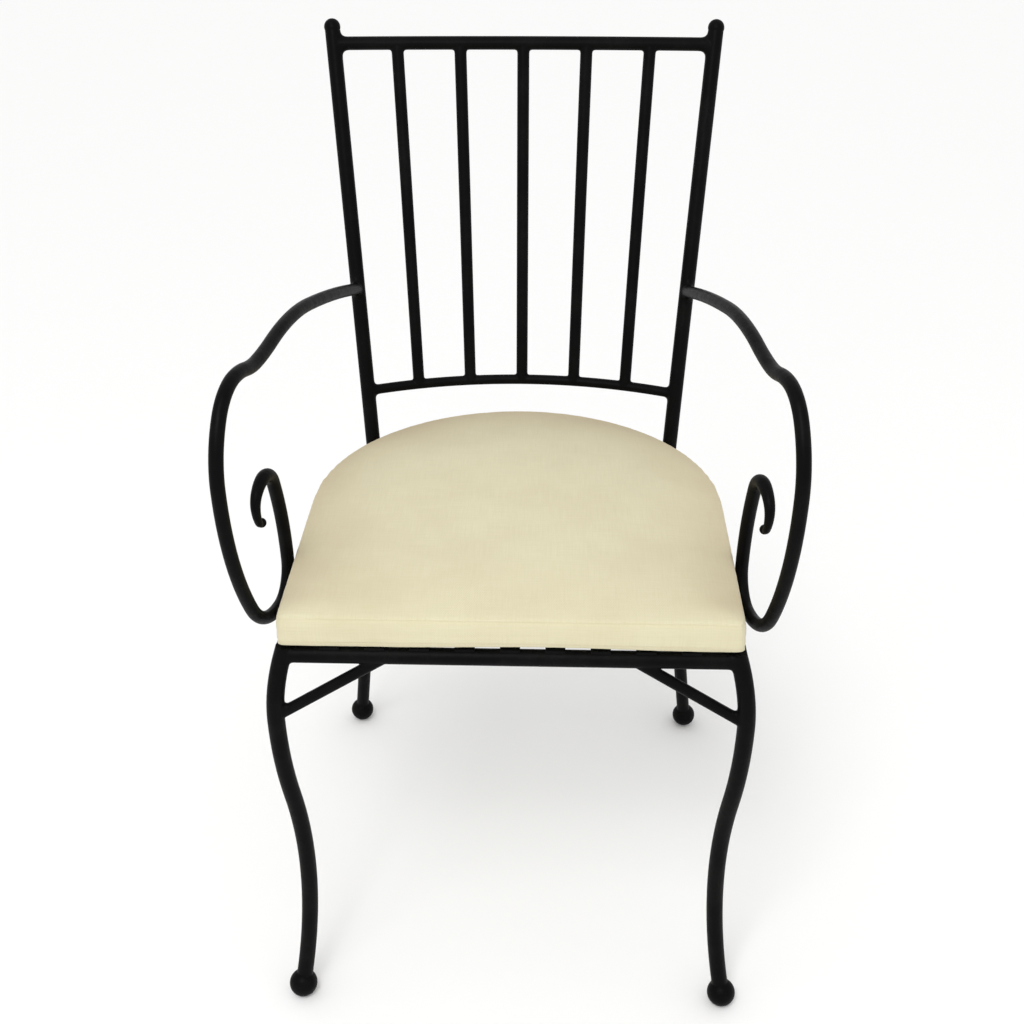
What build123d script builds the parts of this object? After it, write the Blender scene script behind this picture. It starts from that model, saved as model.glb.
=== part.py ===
"""A wrought metal armchair with a loose D-shaped seat cushion.

Front is -Y, up is +Z, and the origin is on the floor, midway in width and depth.
"""

import os
from math import cos, pi, sin

from build123d import *

# Driving dimensions in millimetres and degrees

# Seat frame
seat_front_y = -228.3  # axis of the front bar
seat_height = 429  # axis of the front bar and of the hoop
seat_half_width = 207.5  # axis of the hoop's straight sides, and of the leg tops
hoop_straight = 218  # front bar to the centre of the hoop's half circle
bar_diameter = 16
weld_bite = 0.5  # how far welded bars are let into each other

# Front legs, whose bends lie in an upright plane turned outward
leg_diameter = 16.6
leg_turn = 37  # from straight ahead towards the side
leg_stub = 14  # spare length above the bar, trimmed flush
knee_drop = 67  # below the front bar
knee_out = 16
ankle_height = 168
ankle_in = 3
foot_out = 20

# Braces
brace_diameter = 10.7
brace_drop = 62  # on the leg, below the front bar
brace_reach = 97  # along the front bar, from the leg

# Ball feet
foot_diameter = 29
foot_flat_depth = 1.5  # cut off the ball to stand on

# Back posts
post_angle = 41.4  # where they meet the hoop, from its side to its back
post_bite = 2
post_bend_radius = 40
post_top_height = 885.5
post_top_half_width = 200
post_lean = 113.5  # back from the seat to the top
rear_foot_half_width = 216
rear_foot_run = 79  # back from the seat to the foot
finial_diameter = 17
finial_rise = 2.5  # of the dome's centre above the post

# Back rails and spindles
top_rail_drop = 13.5  # below the tops of the posts
top_rail_diameter = 13.7
top_rail_bow = 5
lower_rail_clearance = 30.7  # above the cushion's crown
lower_rail_diameter = 11
lower_rail_bow = 35
spindle_count = 5
spindle_diameter = 12.7

# Arms, round bar bent in an upright plane from the post to the side of the hoop, and turned out ahead of it
arm_diameter = 12.7
arm_turn = 2
arm_turn_run = 12  # length of the bend that turns it out
arm_joint_rise = 194.5  # on the post, and like all the arm's rises above the hoop's axis
arm_weld_setback = 94  # on the hoop, behind the front bar
arm_rise_run = 176  # where the rising line and the hump's level meet
hump_run = 262
hump_rise = 255
dip_run = 320
dip_rise = 252.5
crest_ahead = 61  # of the weld
crest_rise = 260
arm_front = 119.5
arm_front_rise = 183
belly_ahead = 14.5  # lowest point
belly_rise = 0.5
stem_behind = 14.5  # rearmost point, behind the weld
stem_rise = 33
curl_ahead = 23.5
curl_rise = 143.5
curl_front = 47.5
curl_front_rise = 124
tip_ahead = 38
tip_rise = 105
tip_diameter = 6.5  # where the drawn-out end meets its knob
tip_knob_diameter = 9.2

# Seat slats
slat_count = 9
slat_pitch = 41
slat_width = 18
slat_thickness = 3
slat_front_lap = 4  # ahead of the front bar's axis
slat_rear_lap = 4  # outside the hoop's axis

# Cushion
cushion_side_lap = 5.5  # over the hoop's axis
cushion_rear_lap = 0.5
cushion_front_lap = 6  # ahead of the front bar's axis
cushion_corner_radius = 14
cushion_edge_height = 33
cushion_crown = 4
cushion_seam_inset = 2  # how far the two seams draw the sides in
cushion_seam_height = 25  # upper seam, above the cushion's base
cushion_hem_height = 5  # lower seam, above the cushion's base
cushion_hem = 4  # width of the turned-in lower edge
cushion_roll = 10  # width of the rounded shoulder inside the upper seam
cushion_flat = 40  # half width of the level middle
cover_thickness = 1.2
cushion_clearance = 0.3

# Values worked out from the driving dimensions
hoop_arc_y = seat_front_y + hoop_straight
bar_radius = bar_diameter / 2
slat_base = seat_height + bar_radius - weld_bite
slat_top = slat_base + slat_thickness
foot_height = foot_diameter / 2 - foot_flat_depth
cushion_base = slat_top + cushion_clearance
cushion_front_y = seat_front_y - cushion_front_lap
cushion_half_width = seat_half_width + cushion_side_lap
cushion_arc_y = hoop_arc_y + seat_half_width + cushion_rear_lap - cushion_half_width
cushion_top = cushion_base + cushion_edge_height + cushion_crown
lower_rail_height = cushion_top + lower_rail_clearance + lower_rail_diameter / 2
top_rail_height = post_top_height - top_rail_drop

up = Vector(0, 0, 1)

os.makedirs("parts", exist_ok=True)


def write(piece, node):
    piece.part.label = node
    export_step(piece.part, f"parts/{node}.step")


def write_pair(piece, node):
    write(piece, f"right_{node}")
    with BuildPart() as twin:
        mirror(piece.part, about=Plane.YZ)
    write(twin, f"left_{node}")
    return twin


def bend(start, corner, end):
    """Two tangent arcs that touch the lines start-corner and corner-end at their ends."""
    before = (corner - start).length
    after = (end - corner).length
    across = (end - start).length
    middle = (start * after + corner * across + end * before) / (before + after + across)
    TangentArc(start, middle, tangent=corner - start)
    TangentArc(middle, end, tangent=end - start)


def mirrored_direction(direction, chord):
    """The direction of an arc at the far end of its chord."""
    return chord * (2 * chord.dot(direction) / chord.dot(chord)) - direction


def wave(start, end, direction):
    """Two equal opposite arcs between two points with the same direction at both."""
    middle = (start + end) / 2
    TangentArc(start, middle, tangent=direction)
    TangentArc(middle, end, tangent=mirrored_direction(direction, end - start))


def section_plane(path):
    return Plane(origin=path.line @ 0, z_dir=path.line % 0)


# Front legs
leg_heading = Vector(0, -1, 0).rotate(Axis.Z, leg_turn)


def on_leg(out, height):
    """A point in the right leg's plane, a distance out from the leg's top."""
    return Vector(seat_half_width, seat_front_y, height) + leg_heading * out


leg_top = on_leg(0, seat_height)
knee = on_leg(knee_out, seat_height - knee_drop)
ankle = on_leg(-ankle_in, ankle_height)
front_foot = on_leg(foot_out, foot_height)
leg_start = mirrored_direction(up, leg_top - knee).normalized()

with BuildPart() as front_leg:
    with BuildLine() as leg_path:
        Line(leg_top + leg_start * leg_stub, leg_top)
        TangentArc(leg_top, knee, tangent=-leg_start)
        wave(knee, ankle, -up)
        TangentArc(ankle, front_foot, tangent=-up)
    with BuildSketch(section_plane(leg_path)):
        Circle(leg_diameter / 2)
    sweep()
    split(bisect_by=Plane.XY.offset(seat_height + bar_radius), keep=Keep.BOTTOM)

left_front_leg = write_pair(front_leg, "front_leg")

# Seat front bar, let in between the legs
with BuildPart() as seat_front_bar:
    with BuildSketch(Plane.YZ.offset(-seat_half_width)):
        with Locations((seat_front_y, seat_height)):
            Circle(bar_radius)
    extrude(amount=2 * seat_half_width)
    add(front_leg.part, mode=Mode.SUBTRACT)
    add(left_front_leg.part, mode=Mode.SUBTRACT)

write(seat_front_bar, "seat_front_bar")

# Seat hoop, from leg to leg round the back
hoop_corner = Vector(seat_half_width, seat_front_y, seat_height)
hoop_side = Vector(seat_half_width, hoop_arc_y, seat_height)
hoop_back = Vector(0, hoop_arc_y + seat_half_width, seat_height)

with BuildPart() as seat_hoop:
    with BuildLine() as hoop_path:
        Line(hoop_corner, hoop_side)
        TangentArc(hoop_side, hoop_back, tangent=hoop_side - hoop_corner)
        mirror(about=Plane.YZ)
    with BuildSketch(section_plane(hoop_path)):
        Circle(bar_radius)
    sweep()
    add(front_leg.part, mode=Mode.SUBTRACT)
    add(left_front_leg.part, mode=Mode.SUBTRACT)
    add(seat_front_bar.part, mode=Mode.SUBTRACT)

write(seat_hoop, "seat_hoop")

# Back posts, each with its rear leg, saddled on the outside of the hoop
post_reach = seat_half_width + bar_diameter - post_bite
post_seat = Vector(post_reach, 0).rotate(Axis.Z, post_angle) + Vector(0, hoop_arc_y, seat_height)
post_top = Vector(post_top_half_width, post_seat.Y + post_lean, post_top_height)
rear_foot = Vector(rear_foot_half_width, post_seat.Y + rear_foot_run, foot_height)


def on_post(height):
    """The point of the right post's axis at a height above the seat."""
    return post_seat + (post_top - post_seat) * ((height - seat_height) / (post_top_height - seat_height))


with BuildPart() as back_post:
    with BuildLine() as post_path:
        FilletPolyline(rear_foot, post_seat, post_top, radius=post_bend_radius)
    with BuildSketch(section_plane(post_path)):
        Circle(bar_radius)
    sweep()
    add(seat_hoop.part, mode=Mode.SUBTRACT)

left_back_post = write_pair(back_post, "back_post")

# Finials
post_direction = (post_top - post_seat).normalized()

with BuildPart() as finial:
    with Locations(post_top + post_direction * finial_rise):
        Sphere(finial_diameter / 2)
    add(back_post.part, mode=Mode.SUBTRACT)
    split(bisect_by=Plane(origin=post_top, z_dir=post_direction), keep=Keep.TOP)

write_pair(finial, "post_finial")


# Back rails, bowed between the posts
def rail(height, diameter, bow):
    right = on_post(height)
    left = Vector(-right.X, right.Y, right.Z)
    with BuildPart() as piece:
        with BuildLine() as path:
            ThreePointArc(left, Vector(0, right.Y + bow, height), right)
        with BuildSketch(section_plane(path)):
            Circle(diameter / 2)
        sweep()
        add(back_post.part, mode=Mode.SUBTRACT)
        add(left_back_post.part, mode=Mode.SUBTRACT)
    return piece, path.line


top_rail, top_rail_line = rail(top_rail_height, top_rail_diameter, top_rail_bow)
write(top_rail, "top_rail")
lower_rail, lower_rail_line = rail(lower_rail_height, lower_rail_diameter, lower_rail_bow)
write(lower_rail, "lower_back_rail")

# Spindles, at even shares of both rails
for number in range(1, spindle_count + 1):
    share = number / (spindle_count + 1)
    with BuildPart() as spindle:
        with BuildLine() as spindle_path:
            Line(lower_rail_line @ share, top_rail_line @ share)
        with BuildSketch(section_plane(spindle_path)):
            Circle(spindle_diameter / 2)
        sweep()
        add(top_rail.part, mode=Mode.SUBTRACT)
        add(lower_rail.part, mode=Mode.SUBTRACT)
    write(spindle, f"back_spindle_{number}")

# Arms
arm_joint = on_post(seat_height + arm_joint_rise)
arm_inner_x = seat_half_width + bar_radius - weld_bite
arm_weld = Vector(arm_inner_x + arm_diameter / 2, seat_front_y + arm_weld_setback, arm_joint.Z)
arm_heading = (arm_weld - arm_joint).normalized()
weld_run = (arm_weld - arm_joint).length


def on_arm(run, rise):
    """A point in the right arm's rear plane, a distance ahead of the post."""
    return Vector(arm_joint.X, arm_joint.Y, seat_height + rise) + arm_heading * run


front_heading = arm_heading.rotate(Axis.Z, arm_turn)
dip = on_arm(dip_run, dip_rise)
dip_end = dip + arm_heading.rotate(Axis.Z, arm_turn / 2) * arm_turn_run


def on_scroll(ahead, rise):
    """A point in the right arm's front plane, ahead of its weld on the hoop."""
    return Vector(dip.X, dip.Y, seat_height + rise) + front_heading * (weld_run + ahead - dip_run)


hump = on_arm(hump_run, hump_rise)
crest = on_scroll(crest_ahead, crest_rise)
front = on_scroll(arm_front, arm_front_rise)
belly = on_scroll(belly_ahead, belly_rise)
stem = on_scroll(-stem_behind, stem_rise)
curl = on_scroll(curl_ahead, curl_rise)
curl_nose = on_scroll(curl_front, curl_front_rise)
tip = on_scroll(tip_ahead, tip_rise)


def arm_section(path, share):
    """The plane across the bar at a share of its path, level in width."""
    return Plane(path.line @ share, x_dir=front_heading.cross(up), z_dir=path.line % share)


with BuildPart() as arm:
    with BuildLine() as arm_path:
        bend(arm_joint, on_arm(arm_rise_run, hump_rise), hump)
        wave(hump, dip, arm_heading)
        TangentArc(dip, dip_end, tangent=arm_heading)
        wave(dip_end, crest, front_heading)
        bend(crest, on_scroll(arm_front, crest_rise), front)
        bend(front, on_scroll(arm_front, belly_rise), belly)
        bend(belly, on_scroll(-stem_behind, belly_rise), stem)
        bend(stem, on_scroll(-stem_behind, curl_rise), curl)
    with BuildSketch(arm_section(arm_path, 0)):
        Circle(arm_diameter / 2)
    sweep()
    with BuildLine() as hook_path:
        bend(curl, on_scroll(curl_front, curl_rise), curl_nose)
        bend(curl_nose, on_scroll(curl_front, tip_rise), tip)
    for share, diameter in ((0, arm_diameter), (1, tip_diameter)):
        with BuildSketch(arm_section(hook_path, share)):
            Circle(diameter / 2)
    sweep(path=hook_path.line, multisection=True)
    with Locations(tip):
        Sphere(tip_knob_diameter / 2)
    add(back_post.part, mode=Mode.SUBTRACT)
    add(seat_hoop.part, mode=Mode.SUBTRACT)

write_pair(arm, "arm")

# Braces
brace_foot = on_leg(knee_out, seat_height - brace_drop)

with BuildPart() as brace:
    with BuildLine() as brace_path:
        Line(brace_foot, leg_top - Vector(brace_reach, 0, 0))
    with BuildSketch(section_plane(brace_path)):
        Circle(brace_diameter / 2)
    sweep()
    add(front_leg.part, mode=Mode.SUBTRACT)
    add(seat_front_bar.part, mode=Mode.SUBTRACT)

write_pair(brace, "front_brace")

# Ball feet, bored for the leg ends
for end, centre, leg in (("front", front_foot, front_leg), ("rear", rear_foot, back_post)):
    with BuildPart() as ball:
        with Locations(centre):
            Sphere(foot_diameter / 2)
        split(bisect_by=Plane.XY, keep=Keep.TOP)
        add(leg.part, mode=Mode.SUBTRACT)
    write_pair(ball, f"{end}_foot")

# Slats, laid across the front bar and trimmed to the hoop
slat_rear = seat_half_width + slat_rear_lap
for number in range(slat_count):
    slat_x = slat_pitch * (number - (slat_count - 1) / 2)
    with BuildPart() as slat:
        with BuildSketch(Plane.XY.offset(slat_base)):
            with Locations((slat_x, seat_front_y - slat_front_lap)):
                Rectangle(slat_width, hoop_straight + slat_front_lap, align=(Align.CENTER, Align.MIN))
            with BuildSketch(mode=Mode.PRIVATE) as rear:
                with Locations((slat_x, hoop_arc_y)):
                    Rectangle(slat_width, slat_rear, align=(Align.CENTER, Align.MIN))
                with Locations((0, hoop_arc_y)):
                    Circle(slat_rear, mode=Mode.INTERSECT)
            add(rear.sketch)
        extrude(amount=slat_thickness)
        add(seat_front_bar.part, mode=Mode.SUBTRACT)
        add(seat_hoop.part, mode=Mode.SUBTRACT)
    write(slat, f"seat_slat_{number + 1}")


# Cushion, in level sections from its base to its crown
lower_seam = cushion_base + cushion_hem_height
upper_seam = cushion_base + cushion_seam_height
section_steps = 5


def cushion_profile(skin):
    """Height and inset of each section, drawn in by a skin's thickness all over."""
    steps = [number / section_steps for number in range(section_steps + 1)]
    shoulder = cushion_edge_height - cushion_seam_height - skin
    edge = cushion_seam_inset + cushion_roll + skin
    crown_run = cushion_half_width - cushion_flat - edge
    yield cushion_base + skin, cushion_seam_inset + cushion_hem + skin
    for step in steps:
        bulge = cushion_seam_inset * sin(pi * step)
        yield lower_seam + (upper_seam - lower_seam) * step, cushion_seam_inset - bulge + skin
    for step in steps[1:]:
        turn = pi / 2 * step
        yield upper_seam + shoulder * sin(turn), cushion_seam_inset + cushion_roll * (1 - cos(turn)) + skin
    for step in steps[1:]:
        yield upper_seam + shoulder + cushion_crown * sin(pi / 2 * step), edge + crown_run * step


def cushion_form(skin):
    turn = cushion_corner_radius
    with BuildPart() as form:
        for height, inset in cushion_profile(skin):
            half = cushion_half_width - inset
            front_y = cushion_front_y + inset
            with BuildSketch(Plane.XY.offset(height)):
                with BuildLine():
                    Line((0, front_y), (half - turn, front_y))
                    TangentArc((half - turn, front_y), (half, front_y + turn), tangent=(1, 0))
                    Line((half, front_y + turn), (half, cushion_arc_y))
                    TangentArc((half, cushion_arc_y), (0, cushion_arc_y + half), tangent=(0, 1))
                    mirror(about=Plane.YZ)
                make_face()
        loft(ruled=True)
    return form


cushion_whole = cushion_form(0)
cushion_foam = cushion_form(cover_thickness)
write(cushion_foam, "cushion_foam")

with BuildPart() as cushion_cover:
    add(cushion_whole.part)
    add(cushion_foam.part, mode=Mode.SUBTRACT)

for node, low, high in (
    ("cushion_bottom_panel", cushion_base - cushion_clearance, lower_seam),
    ("cushion_side_band", lower_seam, upper_seam),
    ("cushion_top_panel", upper_seam, upper_seam + cushion_edge_height),
):
    with BuildPart() as panel:
        add(cushion_cover.part)
        split(bisect_by=Plane.XY.offset(low), keep=Keep.TOP)
        split(bisect_by=Plane.XY.offset(high), keep=Keep.BOTTOM)
    write(panel, node)
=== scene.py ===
import math

import bpy
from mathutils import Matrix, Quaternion, Vector, noise
from mathutils.bvhtree import BVHTree


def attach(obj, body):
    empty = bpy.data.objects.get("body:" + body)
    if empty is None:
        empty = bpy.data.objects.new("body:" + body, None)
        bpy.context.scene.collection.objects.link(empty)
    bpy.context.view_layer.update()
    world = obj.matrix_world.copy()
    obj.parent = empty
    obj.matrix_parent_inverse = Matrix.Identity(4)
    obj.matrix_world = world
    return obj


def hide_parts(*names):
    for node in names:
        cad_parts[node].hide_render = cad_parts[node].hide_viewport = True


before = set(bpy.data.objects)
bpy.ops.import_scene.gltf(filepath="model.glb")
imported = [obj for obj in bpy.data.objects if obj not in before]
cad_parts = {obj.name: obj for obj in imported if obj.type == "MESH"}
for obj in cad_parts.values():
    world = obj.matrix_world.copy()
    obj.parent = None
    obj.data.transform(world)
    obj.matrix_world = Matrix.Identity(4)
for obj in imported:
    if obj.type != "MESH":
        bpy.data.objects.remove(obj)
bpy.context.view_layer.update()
scene = bpy.context.scene
print("frame loaded:", len(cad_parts), "parts")


# one shader socket, sums on it add Math nodes
class Wire:
    def __init__(self, tree, socket=None):
        self.tree = tree
        self.socket = socket

    def node(self, kind, settings, sockets, out=0):
        made = self.tree.nodes.new(kind)
        for name, value in settings.items():
            setattr(made, name, value)
        for name, value in sockets.items():
            if isinstance(value, Wire):
                self.tree.links.new(value.socket, made.inputs[name])
            else:
                made.inputs[name].default_value = value
        return Wire(self.tree, made.outputs[out] if len(made.outputs) else None)

    def sum(self, operation, first, second=0.0):
        return self.node("ShaderNodeMath", {"operation": operation}, {0: first, 1: second})

    def __add__(self, other):
        return self.sum("ADD", self, other)

    __radd__ = __add__

    def __sub__(self, other):
        return self.sum("SUBTRACT", self, other)

    def __rsub__(self, other):
        return self.sum("SUBTRACT", other, self)

    def __mul__(self, other):
        return self.sum("MULTIPLY", self, other)

    __rmul__ = __mul__

    def wave(self):
        return self.sum("SINE", self)

    def size(self):
        return self.sum("ABSOLUTE", self)

    def along(self, axis):
        return self.node("ShaderNodeSeparateXYZ", {}, {"Vector": self}, axis)

    def stretched(self, scale):
        return self.node("ShaderNodeVectorMath", {"operation": "MULTIPLY"}, {0: self, 1: scale})

    def speckle(self, scale, detail=2.0, rough=0.5):  # noise at this place
        sockets = {"Vector": self, "Scale": scale, "Detail": detail, "Roughness": rough}
        return self.node("ShaderNodeTexNoise", {}, sockets)

    def within(self, low, high):  # 0 below low, 1 above high
        sockets = {"Value": self, "From Min": low, "From Max": high}
        return self.node("ShaderNodeMapRange", {"interpolation_type": "SMOOTHSTEP"}, sockets)

    def blend(self, first, second):  # colours, by this wire
        return self.node("ShaderNodeMix", {"data_type": "RGBA"}, {0: self, 6: first, 7: second}, 2)

    def bump(self, strength, depth, under=None):  # this height, over another normal
        sockets = {"Strength": strength, "Distance": depth, "Height": self}
        if under:
            sockets["Normal"] = under
        return self.node("ShaderNodeBump", {}, sockets)

    def shade(self, sockets):
        shader = self.node("ShaderNodeBsdfPrincipled", {}, sockets)
        self.node("ShaderNodeOutputMaterial", {}, {"Surface": shader})


def newFinish(name):
    finish = bpy.data.materials.new(name)
    finish.use_nodes = True
    finish.node_tree.nodes.clear()
    return finish, Wire(finish.node_tree)


# black satin paint over hand-forged bar
paintLook = {
    "deep": (0.0026, 0.0026, 0.0027, 1),
    "dusty": (0.0066, 0.0065, 0.0063, 1),
    "scuff": (0.030, 0.028, 0.026, 1),  # under the feet
    "forgeScale": 48.0,  # hammer unevenness, per metre
    "forge": (0.45, 0.0022),  # strength and depth
    "peelScale": 950.0,  # spray texture
    "peel": (0.22, 0.00025),
    "cloudScale": 16.0,
    "cloudShare": 0.55,  # of the roughness, the rest is grit
    "gritScale": 420.0,
    "dustSpan": (0.42, 0.72),
    "dustGrit": (0.35, 0.7),
    "dustEven": 0.35,  # dust that shows without grit
    "scuffHeight": (0.001, 0.010),
    "scuffGrit": (0.38, 0.6),
    "scuffRough": 0.2,
    "armAside": (0.197, 0.206),
    "armHeight": (0.62, 0.66),
    "polish": 0.03,  # arms, smoothed by hands
    "roughLow": 0.31,
    "roughSpan": 0.25,
    "gloss": 0.045,
    "ior": 1.5,
}


def makePaint(look):
    finish, w = newFinish("blackSatinPaint")
    coord = w.node("ShaderNodeTexCoord", {}, {}, "Object")
    forge = coord.speckle(look["forgeScale"], 3.0)
    peel = coord.speckle(look["peelScale"], 1.0)
    cloud = coord.speckle(look["cloudScale"], 4.0, 0.6)
    grit = coord.speckle(look["gritScale"], 3.0, 0.65)
    gritty = (1 - look["dustEven"]) * grit.within(*look["dustGrit"])
    dust = cloud.within(*look["dustSpan"]) * (look["dustEven"] + gritty)
    high = coord.along("Z")
    aside = coord.along("X").size()
    worn = (1 - high.within(*look["scuffHeight"])) * grit.within(*look["scuffGrit"])
    held = aside.within(*look["armAside"]) * high.within(*look["armHeight"])
    uneven = look["cloudShare"] * cloud + (1 - look["cloudShare"]) * grit
    rough = look["roughLow"] + look["roughSpan"] * uneven + look["scuffRough"] * worn - look["polish"] * held
    w.shade({
        "Base Color": worn.blend(dust.blend(look["deep"], look["dusty"]), look["scuff"]),
        "Roughness": rough,
        "Normal": peel.bump(*look["peel"], forge.bump(*look["forge"])),
        "Specular IOR Level": look["gloss"],
        "IOR": look["ior"],
    })
    return finish


# cream cotton canvas, plain weave
canvasLook = {
    "thread": (0.641, 0.594, 0.400, 1),
    "slub": (0.677, 0.633, 0.448, 1),
    # darker tan, for random mottling and for the painted shade at seams, edges and back
    "shade": (0.455, 0.364, 0.222, 1),
    "pitch": 0.0011,  # one thread
    "slubScale": (900.0, 28.0),  # across and along a thread, per metre
    "slubSpan": (0.34, 0.68),
    "cloudScale": 14.0,
    "cloudSpan": (0.3, 0.7),
    "cloudShade": 0.14,
    "fuzzScale": 2600.0,
    "weave": (0.5, 0.00022),  # strength and depth
    "heights": (0.5, 0.9, 0.25),  # of weave, slubs and fuzz
    "rough": (0.84, 0.1),  # and the fuzz's part
    "gloss": 0.22,
    "sheen": 0.18,
    "sheenRough": 0.5,
}


def makeCanvas(look):
    finish, w = newFinish("creamCanvas")
    coord = w.node("ShaderNodeUVMap", {"uv_map": "weave"}, {})
    place = w.node("ShaderNodeTexCoord", {}, {}, "Object")
    turns = math.pi / look["pitch"]
    overUnder = (coord.along("X") * turns).wave() * (coord.along("Y") * turns).wave()
    short, long = look["slubScale"]
    warp = coord.stretched((short, long, 1.0)).speckle(1.0)
    weft = coord.stretched((long, short, 1.0)).speckle(1.0)
    cloud = place.speckle(look["cloudScale"], 3.0, 0.55)
    fuzz = place.speckle(look["fuzzScale"])
    threads = 0.5 * warp + 0.5 * weft
    # painted shade at the seams, the edges and the back, read from the cushion's points
    paintedDarkness = w.node("ShaderNodeAttribute", {"attribute_name": "paintedDark"}, {}, "Fac")
    tone = threads.within(*look["slubSpan"]).blend(look["thread"], look["slub"])
    # random mottling plus the painted shade, blending the thread colour toward the shade colour
    mottleAndPaintedShade = look["cloudShade"] * (1 - cloud.within(*look["cloudSpan"])) + paintedDarkness
    woven, slubs, hairs = look["heights"]
    height = woven * overUnder + slubs * threads + hairs * fuzz
    rough, fuzzRough = look["rough"]
    w.shade({
        "Base Color": mottleAndPaintedShade.blend(tone, look["shade"]),
        "Roughness": rough + fuzzRough * fuzz,
        "Normal": height.bump(*look["weave"]),
        "Specular IOR Level": look["gloss"],
        "Sheen Weight": look["sheen"],
        "Sheen Roughness": look["sheenRough"],
    })
    return finish


blackPaint = makePaint(paintLook)
creamCanvas = makeCanvas(canvasLook)

for nodeName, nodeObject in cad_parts.items():
    finish = creamCanvas if nodeName.startswith("cushion") else blackPaint
    for place in nodeObject.material_slots:
        place.material = finish
print("finishes on the frame")


def newPiece(name, points, faces, finish):
    mesh = bpy.data.meshes.new(name)
    mesh.from_pydata(points, [], faces)
    mesh.materials.append(finish)
    for face in mesh.polygons:
        face.use_smooth = True
    piece = bpy.data.objects.new(name, mesh)
    scene.collection.objects.link(piece)
    return piece


# camera, set by the photograph
cameraSet = {
    "place": (0.03643, -1.2186, 1.1584),
    "pitch": 30.2,
    "yaw": -1.97,
    "roll": 0.25,
    "lens": 47.41,
    "sensor": 36.0,
}


def makeCamera(spec):
    pitch, yaw, roll = (math.radians(spec[name]) for name in ("pitch", "yaw", "roll"))
    aim = Vector((math.sin(yaw) * math.cos(pitch), math.cos(yaw) * math.cos(pitch), -math.sin(pitch)))
    camera = bpy.data.objects.new("camera", bpy.data.cameras.new("camera"))
    camera.data.lens = spec["lens"]
    camera.data.sensor_width = spec["sensor"]
    camera.location = spec["place"]
    camera.rotation_mode = "QUATERNION"
    camera.rotation_quaternion = aim.to_track_quat("-Z", "Y") @ Quaternion((0, 0, 1), -roll)
    scene.collection.objects.link(camera)
    scene.camera = camera


makeCamera(cameraSet)


# the bars' axes that the welds follow, on the right side
chair = {
    "seatFront": -0.2283,
    "seatHeight": 0.429,
    "seatHalf": 0.2075,
    "hoopArc": -0.0103,
    "postSeat": (0.16615, 0.13618, 0.429),
    "postTop": (0.2, 0.24968, 0.8855),
    "rearFoot": (0.216, 0.21518, 0.013),
    "frontFoot": (0.21954, -0.24427, 0.013),
    "ankle": (0.20569, -0.22590, 0.168),
    "braceFoot": (0.21713, -0.24108, 0.367),
    "braceTop": (0.1105, -0.2283, 0.429),
    "topRail": (0.872, 0.005),  # height, bow
    "lowerRail": (0.513, 0.035),
    "spindles": 5,
    "armJoint": 0.6235,
    "armWeld": (0.22135, -0.1343),
    "armRise": (0.176, 0.684),  # run and height of the corner that it rises to
    "armTouch": 0.0078,  # from the hoop's axis to where the arm lies on it
    "postTouch": 0.007,
    "footTop": 0.0115,  # from the ball's centre towards its leg
}

# welds: a fillet over each joint
weldSet = {
    "bars": {  # radius of each bar
        "topRail": 0.00685,
        "lowerRail": 0.0055,
        "spindle": 0.00635,
        "arm": 0.00635,
        "seat": 0.008,
        "post": 0.008,
        "leg": 0.0083,
        "brace": 0.00535,
    },
    "topRail": 0.007,  # radius of the fillet
    "lowerRail": 0.005,
    "spindleFoot": 0.0026,
    "spindleTop": 0.003,
    "arm": 0.0065,
    "frontBar": 0.005,
    "hoop": 0.004,
    "braceFoot": 0.0035,
    "braceTop": 0.003,
    "foot": 0.003,
    "armSaddle": 0.004,  # width of the blend where bars lie side by side
    "postSaddle": 0.0045,
    "turns": 72,
    "saddleTurns": 76,
    "rows": 9,
    "probe": (0.05, 0.09),  # start ahead of the joint, and length
    "clear": 0.0001,  # of the probe from the bar
    "footClear": 0.0009,  # past the rim of the foot's socket
    "walk": (0.0005, -30, 60),  # step, and the steps where no probe hits
    "lean": (-0.95, 0.9999),  # limits of the cosine between bar and wall
    "leastSpread": 0.0006,
    "mostSpread": 1.7,  # times the radius
    "lift": 0.0004,  # of the points that look for the skins
    "sunk": 0.0005,  # rims, in the bars
    "root": 0.001,  # hidden inner edge
    "proud": 0.00008,  # over the bars' skins
    "lump": 0.00014,
    "saddleStep": (0.00025, 160),  # length and number
    "saddleLift": 0.0006,
    "saddleSunk": 0.0003,
    "saddleProud": 0.00004,
    "saddleLump": 0.00016,
    "saddleRounds": 10,
    "hair": 1e-4,
    "lumpScale": 190,
}
sides = ((1, "right"), (-1, "left"))
trees = {}
skew = Vector((0.31, 0.47, 0.83)).normalized()


def treeOf(name):
    if name not in trees:
        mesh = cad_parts[name].data
        points = [vertex.co for vertex in mesh.vertices]
        trees[name] = BVHTree.FromPolygons(points, [face.vertices for face in mesh.polygons])
    return trees[name]


def gap(name, point):  # signed distance to a CAD part, the way out of it, and the nearest spot on it
    spot, normal, _, far = treeOf(name).find_nearest(point)
    away = point - spot
    lean = away.dot(normal)
    if abs(lean) < 0.2 * far:  # nearest to a sharp edge: look for a wall from inside
        hit, wall, _, _ = treeOf(name).ray_cast(point, skew)
        lean = -1 if hit and wall.dot(skew) > 0 else 1
    side = -1 if lean < 0 else 1
    return side * far, (away * side / far if far > 1e-6 else normal), spot


def nearestOf(names, point):
    return min((gap(name, point) for name in names), key=lambda found: found[0])


def blended(bar, other, point, soft):  # smooth union of two bars
    onBar, barWay, _ = gap(bar, point)
    onOther, otherWay, _ = gap(other, point)
    share = min(max(0.5 + 0.5 * (onOther - onBar) / soft, 0), 1)
    slope = otherWay * (1 - share) + barWay * share
    return onOther * (1 - share) + onBar * share - soft * share * (1 - share), slope


def spokes(way, turns):  # directions round an axis
    side = way.orthogonal().normalized()
    top = way.cross(side)
    angles = [2 * math.pi * turn / turns for turn in range(turns)]
    return [side * math.cos(angle) + top * math.sin(angle) for angle in angles]


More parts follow.
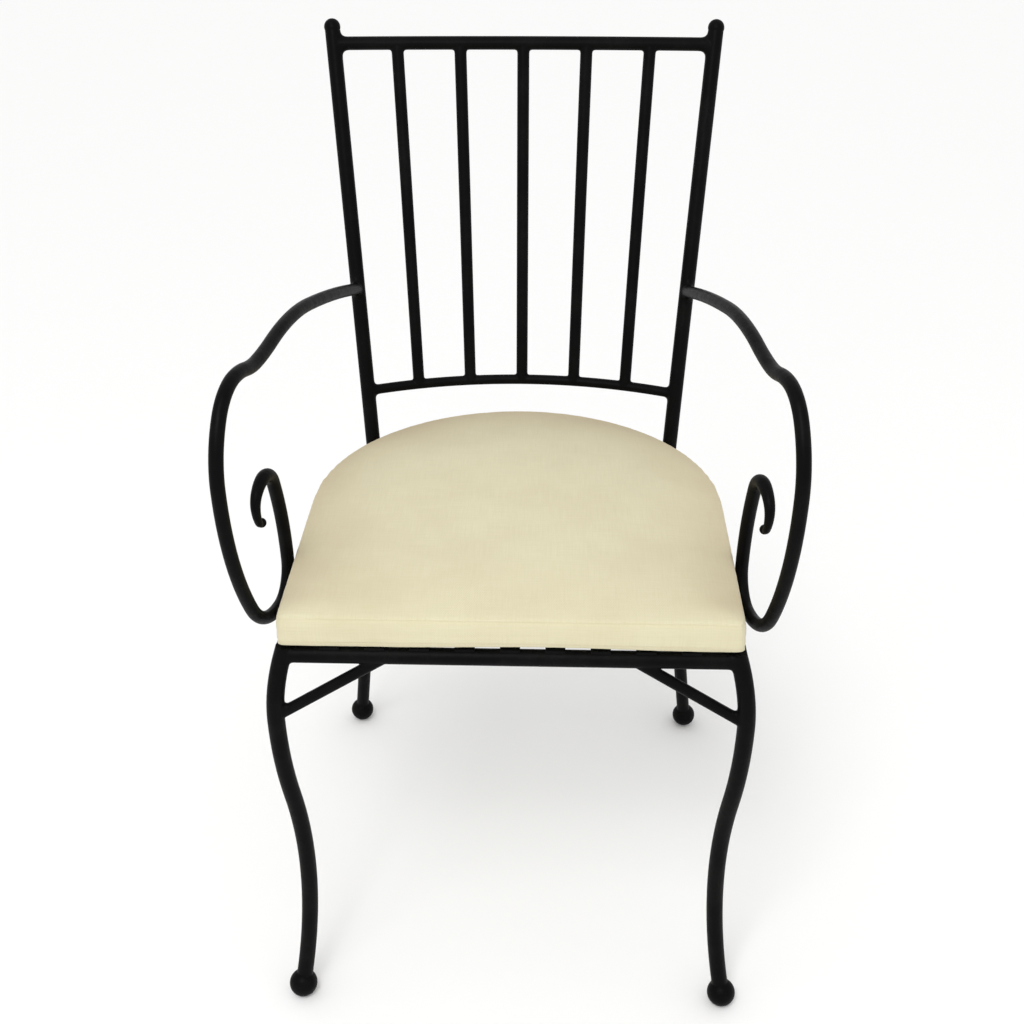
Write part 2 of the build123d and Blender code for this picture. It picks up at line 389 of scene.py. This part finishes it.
def meeting(others, line, way, spec):  # where a line along a bar ends on what it joins, and the wall there
    ahead, length = spec["probe"]
    hits = [treeOf(name).ray_cast(line + way * ahead, -way, length) for name in others]
    hits = [hit for hit in hits if hit[0]]
    if hits:
        spot, wall, _, _ = min(hits, key=lambda hit: hit[3])
        return spot, wall
    step, first, last = spec["walk"]  # the bar is wider here than what it meets
    runs = [(nearestOf(others, line + way * run * step), run) for run in range(first, last)]
    (_, wall, _), run = min(runs, key=lambda found: found[0][0])
    return line + way * run * step, wall


def saddleRim(bar, other, start, out, away, soft, spec):  # the bar's skin, where the other is far enough
    step, steps = spec["saddleStep"]
    for count in range(steps):
        spot = gap(bar, start + out * count * step + away)[2]
        if gap(other, spot)[0] >= soft:
            break
    return spot


class WeldSet:  # gathers the welds of one group of joints
    def __init__(self, name, spec):
        self.name = name
        self.spec = spec
        self.points = []
        self.faces = []

    def close(self, loops, middle):  # one ring, from a closed loop of points for each turn
        first, band = len(self.points), len(loops[0])
        self.points += [point for loop in loops for point in loop]
        faces = []
        bulk = 0
        for turn in range(len(loops)):
            here, there = first + turn * band, first + (turn + 1) % len(loops) * band
            for row in range(band):
                above = (row + 1) % band
                faces.append((here + row, there + row, there + above, here + above))
        for face in faces:
            a, b, c, d = (self.points[index] - middle for index in face)
            bulk += a.dot(b.cross(c)) + a.dot(c.cross(d))
        self.faces += faces if bulk > 0 else [face[::-1] for face in faces]  # turned outward

    def shares(self):  # from the bar to what it joins
        return [row / (self.spec["rows"] - 1) for row in range(self.spec["rows"])]

    def lump(self, depth, share, point):
        return depth * math.sin(math.pi * share) * noise.noise(point * self.spec["lumpScale"])

    def corner(self, others, bar, start, way, reach, radius, clear=None):  # a bar's end on what it joins
        spec = self.spec
        clear = clear or spec["clear"]
        way = way.normalized()
        outs = spokes(way, spec["turns"])
        found = [meeting(others, start + out * (reach + clear), way, spec) for out in outs]
        meets, walls = zip(*found)
        loops = []
        for turn, out in enumerate(outs):
            meet = meets[turn] - out * clear
            wall = (walls[turn - 1] + 2 * walls[turn] + walls[(turn + 1) % len(walls)]).normalized()
            low, high = spec["lean"]
            lean = min(max(out.dot(wall), low), high)
            spread = max(radius * math.tan(math.acos(lean) / 2), spec["leastSpread"])
            spread = min(spread, spec["mostSpread"] * radius)
            along = (wall - out * lean).normalized()
            up = (out - wall * lean).normalized()
            onBar = gap(bar, meet + along * spread + out * spec["lift"])[2]
            onOther = nearestOf(others, meet + up * spread + wall * spec["lift"])[2]
            loop = [onBar - out * spec["sunk"]]
            for share in self.shares():
                point = onBar * (1 - share) ** 2 + meet * 2 * share * (1 - share) + onOther * share ** 2
                facing = (out * (1 - share) + wall * share).normalized()
                loop.append(point + facing * (self.lump(spec["lump"], share, point) + spec["proud"]))
            loops.append(loop + [onOther - wall * spec["sunk"], meet - (out + wall) * spec["root"]])
        self.close(loops, start)

    def saddle(self, other, bar, start, way, soft):  # two bars side by side
        spec = self.spec
        lift, hair, sunk = spec["saddleLift"], spec["hair"], spec["saddleSunk"]
        loops = []
        for out in spokes(way, spec["saddleTurns"]):
            onBar = saddleRim(bar, other, start, out, way * lift, soft, spec)
            onOther = saddleRim(other, bar, start, out, way * -lift, soft, spec)
            loop = [onBar - gap(bar, onBar + out * hair)[1] * sunk]
            for share in self.shares():
                point = onBar.lerp(onOther, share)
                for _ in range(spec["saddleRounds"]):
                    total, slope = blended(bar, other, point, soft)
                    point = point - slope * (total / max(slope.length_squared, 0.1))
                lump = self.lump(spec["saddleLump"], share, point)
                loop.append(point + slope.normalized() * (lump + spec["saddleProud"]))
            rim = onOther - gap(other, onOther + way * hair)[1] * sunk
            loops.append(loop + [rim, start + out * sunk])
        self.close(loops, start)

    def make(self, finish):
        piece = newPiece(self.name, self.points, self.faces, finish)
        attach(piece, "frame")


def mirrored(point, sign):
    return Vector((point[0] * sign, point[1], point[2]))


def onPost(height):
    low, high = Vector(chair["postSeat"]), Vector(chair["postTop"])
    return low.lerp(high, (height - low.z) / (high.z - low.z))


def onRail(rail, share):  # point, and the way along it to +X
    height, bow = rail
    end = onPost(height)
    radius = (end.x ** 2 + bow ** 2) / (2 * bow)
    turn = (2 * share - 1) * math.asin(end.x / radius)
    centre = end.y + bow - radius
    point = Vector((radius * math.sin(turn), centre + radius * math.cos(turn), height))
    return point, Vector((math.cos(turn), -math.sin(turn), 0))


def weldBack(welds, spec):
    bars = spec["bars"]
    for sign, hand in sides:
        post = f"{hand}_back_post"
        end = (1 + sign) // 2  # the rail's share at this post
        point, way = onRail(chair["topRail"], end)
        joined = [post, f"{hand}_post_finial"]
        welds.corner(joined, "top_rail", point, way * -sign, bars["topRail"], spec["topRail"])
        point, way = onRail(chair["lowerRail"], end)
        welds.corner([post], "lower_back_rail", point, way * -sign, bars["lowerRail"], spec["lowerRail"])
    for number in range(1, chair["spindles"] + 1):
        share = number / (chair["spindles"] + 1)
        low, high = (onRail(chair[rail], share)[0] for rail in ("lowerRail", "topRail"))
        spindle, reach = f"back_spindle_{number}", bars["spindle"]
        welds.corner(["lower_back_rail"], spindle, low, high - low, reach, spec["spindleFoot"])
        welds.corner(["top_rail"], spindle, high, low - high, reach, spec["spindleTop"])


def weldArms(welds, spec):
    joint = onPost(chair["armJoint"])
    weld = Vector((*chair["armWeld"], joint.z))
    run, height = chair["armRise"]
    rise = Vector((joint.x, joint.y, height)) + (weld - joint).normalized() * run - joint
    contact = (chair["seatHalf"] + chair["armTouch"], weld.y, chair["seatHeight"])
    for sign, hand in sides:
        arm, start, way = f"{hand}_arm", mirrored(joint, sign), mirrored(rise, sign)
        welds.corner([f"{hand}_back_post"], arm, start, way, spec["bars"]["arm"], spec["arm"])
        welds.saddle("seat_hoop", arm, mirrored(contact, sign), Vector((sign, 0, 0)), spec["armSaddle"])


def weldSeat(welds, spec):
    radial = Vector((chair["postSeat"][0], chair["postSeat"][1] - chair["hoopArc"], 0)).normalized()
    centre = Vector((0, chair["hoopArc"], chair["seatHeight"]))
    touch = centre + radial * (chair["seatHalf"] + chair["postTouch"])
    for sign, hand in sides:
        leg, reach = f"{hand}_front_leg", spec["bars"]["seat"]
        corner = mirrored((chair["seatHalf"], chair["seatFront"], chair["seatHeight"]), sign)
        welds.corner([leg], "seat_front_bar", corner, Vector((-sign, 0, 0)), reach, spec["frontBar"])
        welds.corner([leg], "seat_hoop", corner, Vector((0, 1, 0)), reach, spec["hoop"])
        post, start, way = f"{hand}_back_post", mirrored(touch, sign), mirrored(radial, sign)
        welds.saddle("seat_hoop", post, start, way, spec["postSaddle"])


def weldLegs(welds, spec):
    bars = spec["bars"]
    foot, rear = Vector(chair["frontFoot"]), Vector(chair["rearFoot"])
    chord = foot - Vector(chair["ankle"])
    down = Vector((0, 0, -1))
    # the leg's last arc starts straight down at the ankle
    landing = chord * (2 * chord.dot(down) / chord.dot(chord)) - down
    feet = (
        ("front", "front_leg", foot, -landing, bars["leg"]),
        ("rear", "back_post", rear, Vector(chair["postSeat"]) - rear, bars["post"]),
    )
    for sign, hand in sides:
        low, high = mirrored(chair["braceFoot"], sign), mirrored(chair["braceTop"], sign)
        brace, reach = f"{hand}_front_brace", bars["brace"]
        welds.corner([f"{hand}_front_leg"], brace, low, high - low, reach, spec["braceFoot"])
        welds.corner(["seat_front_bar"], brace, high, low - high, reach, spec["braceTop"])
        for end, bar, ball, way, radius in feet:
            upward = mirrored(way, sign).normalized()
            start = mirrored(ball, sign) + upward * chair["footTop"]
            joined = [f"{hand}_{end}_foot"]
            welds.corner(joined, f"{hand}_{bar}", start, upward, radius, spec["foot"], spec["footClear"])


for groupName, weldGroup in (
    ("backWelds", weldBack),
    ("armWelds", weldArms),
    ("seatWelds", weldSeat),
    ("legWelds", weldLegs),
):
    group = WeldSet(groupName, weldSet)
    weldGroup(group, weldSet)
    group.make(blackPaint)
print("welds made")


# seat cushion: foam slab in a sewn cover, puffed as cloth and then drawn in at its seams
cushionSet = {
    "half": 0.213,
    "front": -0.2343,
    "arc": -0.0153,  # centre of the round back
    "base": 0.4398,
    "corner": 0.0065,
    "cornerMost": (0.45, 0.2),  # of a small ring's half width and of its sides
    "cornerLeast": 0.0005,
    "edge": 0.0338,  # height of the rounded edge
    "crown": 0.0042,
    "hem": 0.0050,  # lower seam, above the base
    "seam": 0.0298,  # upper seam
    "seamInset": 0.0012,
    "roll": 0.0065,
    "under": 0.0065,  # inset of the flat underside
    "fold": ((0.0035, 0.0006), (0.0016, 0.0022)),  # inset and height, up to the hem
    "middle": 0.012,  # half width of the smallest ring
    "ease": 0.12,  # closer rings at the seams
    "rings": (26, 12, 34),  # on the band, the roll and the top
    "points": 720,  # in a ring
    "shares": (0.135, 0.016, 0.137),  # of the points: half the front, a corner, a side
    "drawIn": 0.0005,  # depth of the seams
    "seamWidth": 0.0011,
    "seamReach": 0.02,  # inset of the last ring that they draw in
    "seamShade": 0.12,
    "pucker": 0.00032,
    "puckerWidth": 0.006,
    "puckerRate": (0.42, 0.13),  # fine and broad gathers, per point
    "puckerSeed": (900, 500),  # times the seam's height
    "puckerBroad": 0.5,  # share of the broad ones
    "sway": ((9, 3, 1), (26, 8, 0.4)),  # per metre, seed and share
    "swayDepth": 0.0007,
    "swayFade": 0.03,
    "lip": 0.0028,  # lift of the front hem
    "lipMiddle": 0.035,  # where it lifts most
    "lipReach": 0.14,
    "lipHeight": 0.012,
    "lipDepth": 0.02,
    "press": 0.75,  # onto the puffed skin
    "pressFrom": (0.002, 0.012),  # the hem keeps its fold
    "frontBand": 0.03,
    "core": 0.05,  # seams draw in to a line that starts this far back
    "paintedShade": {  # painted shade, darker at the sides and the back
        "most": 0.5,
        "edge": 0.004,
        "reach": 0.045,
        "drop": 0.02,
        "rear": 0.7,
        "front": (0.006, 0.026),  # none on the front edge
        "frontShare": 0.2,
        "frontReach": 0.06,
    },
    "cloth": {  # the skin that is puffed
        "rings": (5, 4, 8),
        "points": 180,
        "shrink": 0.002,
        "voxel": 0.005,
        "pressure": 4.0,
        "frames": 20,
        "cap": 0.005,  # a point moves no further
        "heldHem": 0.004,
        "heldSeam": 0.0026,
        "settings": {
            "quality": 6,
            "mass": 0.25,
            "tension_stiffness": 18,
            "compression_stiffness": 18,
            "bending_stiffness": 4,
        },
    },
}


def ramp(value, start, run):  # 0 to 1
    return min(max((value - start) / run, 0), 1)


def outline(spec, inset, count):  # D shape, from the middle of the front
    half = spec["half"] - inset
    front = spec["front"] + inset
    ofHalf, ofSide = spec["cornerMost"]
    turn = min(spec["corner"], ofHalf * half, max(ofSide * (spec["arc"] - front), spec["cornerLeast"]))
    side = max(spec["arc"] - front - turn, 0)
    flat = half - turn
    quarter = math.pi / 2
    edge, bend, flank = (round(count * share) for share in spec["shares"])
    rear = count - 2 * (edge + bend + flank)

    def cornered(share):
        return flat + turn * math.sin(quarter * share), front + turn - turn * math.cos(quarter * share)

    def leftCornered(share):
        x, y = cornered(1 - share)
        return -x, y

    def rounded(share):
        return half * math.cos(math.pi * share), spec["arc"] + half * math.sin(math.pi * share)

    stretches = (
        (edge, lambda share: (flat * share, front)),
        (bend, cornered),
        (flank, lambda share: (half, front + turn + side * share)),
        (rear, rounded),
        (flank, lambda share: (-half, spec["arc"] - side * share)),
        (bend, leftCornered),
        (edge, lambda share: (-flat + flat * share, front)),
    )
    return [place(step / steps) for steps, place in stretches for step in range(steps)]


def profile(spec, rings):  # inset and height of each ring, underside to crown
    bands, rolls, tops = rings
    middle = spec["half"] - spec["middle"]
    rows = [(middle * (1 - step / tops) + spec["under"] * step / tops, 0) for step in range(tops + 1)]
    rows += spec["fold"]
    for step in range(bands + 1):
        share = step / bands
        eased = share - spec["ease"] * math.sin(2 * math.pi * share)
        inset = spec["seamInset"] * (1 - math.sin(math.pi * eased))
        rows.append((inset, spec["hem"] + (spec["seam"] - spec["hem"]) * eased))
    rise = spec["edge"] - spec["seam"]
    for step in range(1, rolls + 1):
        angle = math.pi / 2 * step / rolls
        inset = spec["seamInset"] + spec["roll"] * (1 - math.cos(angle))
        rows.append((inset, spec["seam"] + rise * math.sin(angle)))
    rim = spec["seamInset"] + spec["roll"]
    for step in range(1, tops + 1):
        share = step / tops
        height = spec["edge"] + spec["crown"] * math.sin(math.pi / 2 * share)
        rows.append((rim + (middle - rim) * share, height))
    return rows


def slab(spec, rows, count, shrink=0.0):
    points, faces = [], []
    for inset, height in rows:
        lift = min(height, spec["edge"] + spec["crown"] - shrink) if height else 0
        ring = outline(spec, inset + shrink * (height > 0), count)
        points += [(x, y, spec["base"] + lift) for x, y in ring]
    for row in range(len(rows) - 1):
        for number in range(count):
            here, there = row * count + number, row * count + (number + 1) % count
            faces.append((here, there, there + count, here + count))
    last = (len(rows) - 1) * count
    faces.append(tuple(range(count - 1, -1, -1)))
    faces.append(tuple(range(last, last + count)))
    return points, faces


def puffed(spec):  # cloth skin of the slab under pressure, as a tree to press the fine mesh onto
    fabric = spec["cloth"]
    rows = profile(spec, fabric["rings"])
    points, faces = slab(spec, rows, fabric["points"], fabric["shrink"])
    blank = newPiece("cushionBlank", points, faces, creamCanvas)
    remesh = blank.modifiers.new("voxels", "REMESH")
    remesh.mode = "VOXEL"
    remesh.voxel_size = fabric["voxel"]
    ready = bpy.context.evaluated_depsgraph_get()
    mesh = bpy.data.meshes.new_from_object(blank.evaluated_get(ready))
    skin = bpy.data.objects.new("cushionSkin", mesh)
    scene.collection.objects.link(skin)
    held = skin.vertex_groups.new(name="held")
    for vertex in mesh.vertices:
        height = vertex.co.z - spec["base"]
        if height < fabric["heldHem"] or abs(height - spec["seam"]) < fabric["heldSeam"]:
            held.add([vertex.index], 1.0, "REPLACE")
    cloth = skin.modifiers.new("cloth", "CLOTH")
    cloth.settings.use_pressure = True
    cloth.settings.uniform_pressure_force = fabric["pressure"]
    cloth.settings.effector_weights.gravity = 0
    cloth.settings.vertex_group_mass = "held"
    for name, value in fabric["settings"].items():
        setattr(cloth.settings, name, value)
    rest = [vertex.co.copy() for vertex in mesh.vertices]
    for step in range(1, fabric["frames"] + 1):
        scene.frame_set(step)
    ready = bpy.context.evaluated_depsgraph_get()
    shown = skin.evaluated_get(ready).data
    moved = []
    most = 0
    for start, vertex in zip(rest, shown.vertices):
        shift = vertex.co - start
        if shift.length > fabric["cap"]:
            shift *= fabric["cap"] / shift.length
        moved.append(start + shift)
        most = max(most, shift.length)
    tree = BVHTree.FromPolygons(moved, [face.vertices for face in mesh.polygons])
    scene.frame_set(1)
    print("cushion puffed:", len(moved), "points, most", round(1000 * most, 1), "mm")
    bpy.data.objects.remove(skin)
    bpy.data.objects.remove(blank)
    return tree


# painted shade on the cover: darker towards the top's sides and back, fading inward and down the band, none
# on the front edge
def paintedShadeAt(spec, point, height):
    paintedShade = spec["paintedShade"]
    off = math.hypot(point.x, max(point.y - spec["arc"], 0))
    inward = max(spec["half"] - off - paintedShade["edge"], 0)
    ahead = point.y - spec["front"]
    behind = ramp(ahead, *paintedShade["front"])
    drop = max(spec["seam"] - height, 0)
    rear = 1 + paintedShade["rear"] * max(point.y - spec["arc"], 0) / spec["half"]
    flanks = paintedShade["most"] * rear * math.exp(-inward / paintedShade["reach"] - drop / paintedShade["drop"])
    return behind * (flanks + paintedShade["frontShare"] * paintedShade["most"] * math.exp(-ahead / paintedShade["frontReach"]))


def outward(spec, point):  # level way out of the cushion
    inFront = point.y < spec["front"] + spec["frontBand"]
    if inFront and abs(point.x) < spec["half"] - spec["frontBand"]:
        return Vector((0, -1, 0))
    core = max(spec["front"] + spec["core"], min(point.y, spec["arc"]))
    out = Vector((point.x, point.y - core, 0))
    return out.normalized() if out.length > 1e-6 else Vector((0, -1, 0))


def puckered(spec, number, line):  # gathers along a seam
    fineRate, broadRate = spec["puckerRate"]
    fineSeed, broadSeed = spec["puckerSeed"]
    fine = noise.noise(Vector((number * fineRate, line * fineSeed, 0)))
    broad = noise.noise(Vector((number * broadRate, 7, line * broadSeed)))
    return fine + spec["puckerBroad"] * broad


def sewn(spec, point, number, inset, height):  # seams, slack on top and a lifted front hem; and the painted shade in the seams
    dark = 0
    if inset < spec["seamReach"]:
        out = outward(spec, point)
        for line in (spec["hem"], spec["seam"]):
            near = math.exp(-((height - line) / spec["seamWidth"]) ** 2)
            broad = math.exp(-((height - line) / spec["puckerWidth"]) ** 2)
            gather = spec["pucker"] * broad * puckered(spec, number, line)
            point = point - out * (spec["drawIn"] * near + gather)
            dark = max(dark, near)
    if height > spec["seam"]:
        sway = 0
        for scale, seed, share in spec["sway"]:
            sway += share * noise.noise(Vector((point.x * scale, point.y * scale, seed)))
        point = point + Vector((0, 0, spec["swayDepth"] * sway * min(inset / spec["swayFade"], 1)))
    ahead = point.y - spec["front"]
    if height < spec["lipHeight"] and ahead < spec["lipDepth"]:
        aside = min(abs(point.x - spec["lipMiddle"]) / spec["lipReach"], 1)
        arch = math.cos(aside * math.pi / 2) ** 2
        point.z += spec["lip"] * arch * (1 - height / spec["lipHeight"]) * (1 - ahead / spec["lipDepth"])
    point.z = max(point.z, spec["base"])
    return point, spec["seamShade"] * dark


def layWeave(mesh, spec, rows, points):  # the band's threads run round it, the others lie square
    count = spec["points"]
    heights = [height for _, height in rows]
    banded = [row for row, height in enumerate(heights) if spec["hem"] <= height <= spec["seam"] + 1e-6]
    weave = mesh.uv_layers.new(name="weave")
    girth = [0.0]
    ring = outline(spec, 0, count)
    for number in range(count):
        girth.append(girth[-1] + math.dist(ring[number], ring[(number + 1) % count]))
    for face in mesh.polygons:
        indices = list(face.vertices)
        row = min(indices) // count
        onBand = banded[0] <= row < banded[-1]
        numbers = [index % count for index in indices]
        wraps = 0 in numbers and count - 1 in numbers
        for corner, index, number in zip(face.loop_indices, indices, numbers):
            point = points[index]
            if onBand:
                weave.data[corner].uv = (girth[count if wraps and number == 0 else number], point.z)
            else:
                weave.data[corner].uv = (point.x, point.y)


def makeCushion(spec):
    count = spec["points"]
    rows = profile(spec, spec["rings"])
    places, faces = slab(spec, rows, count)
    tree = puffed(spec)
    points, paintedDark = [], []
    for index, place in enumerate(places):
        point = Vector(place)
        inset, height = rows[index // count]
        if tree and height > 0:
            point = point.lerp(tree.find_nearest(point)[0], spec["press"] * ramp(height, *spec["pressFrom"]))
        point, dark = sewn(spec, point, index % count, inset, height)
        points.append(point)
        # painted shade: the darker of the seams' and of the edges' and back's
        paintedDark.append(max(dark, paintedShadeAt(spec, point, height)))
    cushion = newPiece("seatCushion", points, faces, creamCanvas)
    cushion.data.attributes.new("paintedDark", "FLOAT", "POINT").data.foreach_set("value", paintedDark)
    layWeave(cushion.data, spec, rows, points)
    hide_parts("cushion_foam", "cushion_bottom_panel", "cushion_side_band", "cushion_top_panel")
    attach(cushion, "cushion")


makeCushion(cushionSet)
print("cushion made")


# studio: pale floor, wide soft light from the front and above
studioSet = {
    "floor": (0.95, 0.95, 0.945),
    "floorMottle": (3.0, 0.25, 0.97),  # per metre, share and tone
    "floorRough": 0.9,
    "floorGloss": 0.1,
    "reach": 80,
    "corners": 120,
    "sky": 0.90,
    "keyPower": 0.42,
    "keyAngle": 20,
    "keyWay": (0.18, 0.45, -0.87),
    "boxPower": 8,
    "boxSize": 0.5,
    "boxPlace": (-0.25, -1.25, 1.65),
    "boxAim": (0, -0.1, 0.45),
}


def makeFloor(spec):
    finish, w = newFinish("paleFloor")
    coord = w.node("ShaderNodeTexCoord", {}, {}, "Object")
    scale, share, darker = spec["floorMottle"]
    pale = (*spec["floor"], 1)
    dim = (*(darker * part for part in spec["floor"]), 1)
    w.shade({
        "Base Color": (share * coord.speckle(scale)).blend(pale, dim),
        "Roughness": spec["floorRough"],
        "Specular IOR Level": spec["floorGloss"],
    })
    angles = [2 * math.pi * turn / spec["corners"] for turn in range(spec["corners"])]
    rim = [(spec["reach"] * math.cos(angle), spec["reach"] * math.sin(angle), 0) for angle in angles]
    floor = newPiece("floor", rim, [tuple(range(len(rim)))], finish)


def newLight(name, kind, power, way):
    light = bpy.data.objects.new(name, bpy.data.lights.new(name, kind))
    light.data.energy = power
    light.rotation_mode = "QUATERNION"
    light.rotation_quaternion = way.to_track_quat("-Z", "Y")
    scene.collection.objects.link(light)
    return light


def makeStudio(spec):
    makeFloor(spec)
    world = bpy.data.worlds.new("studio")
    world.use_nodes = True
    sky = world.node_tree.nodes["Background"]
    sky.inputs["Color"].default_value = (1, 1, 1, 1)
    sky.inputs["Strength"].default_value = spec["sky"]
    scene.world = world
    key = newLight("key", "SUN", spec["keyPower"], Vector(spec["keyWay"]))
    key.data.angle = math.radians(spec["keyAngle"])
    boxWay = Vector(spec["boxAim"]) - Vector(spec["boxPlace"])
    box = newLight("softbox", "AREA", spec["boxPower"], boxWay)
    box.data.size = spec["boxSize"]
    box.location = spec["boxPlace"]
    scene.view_settings.view_transform = "Standard"


makeStudio(studioSet)
print("studio made")
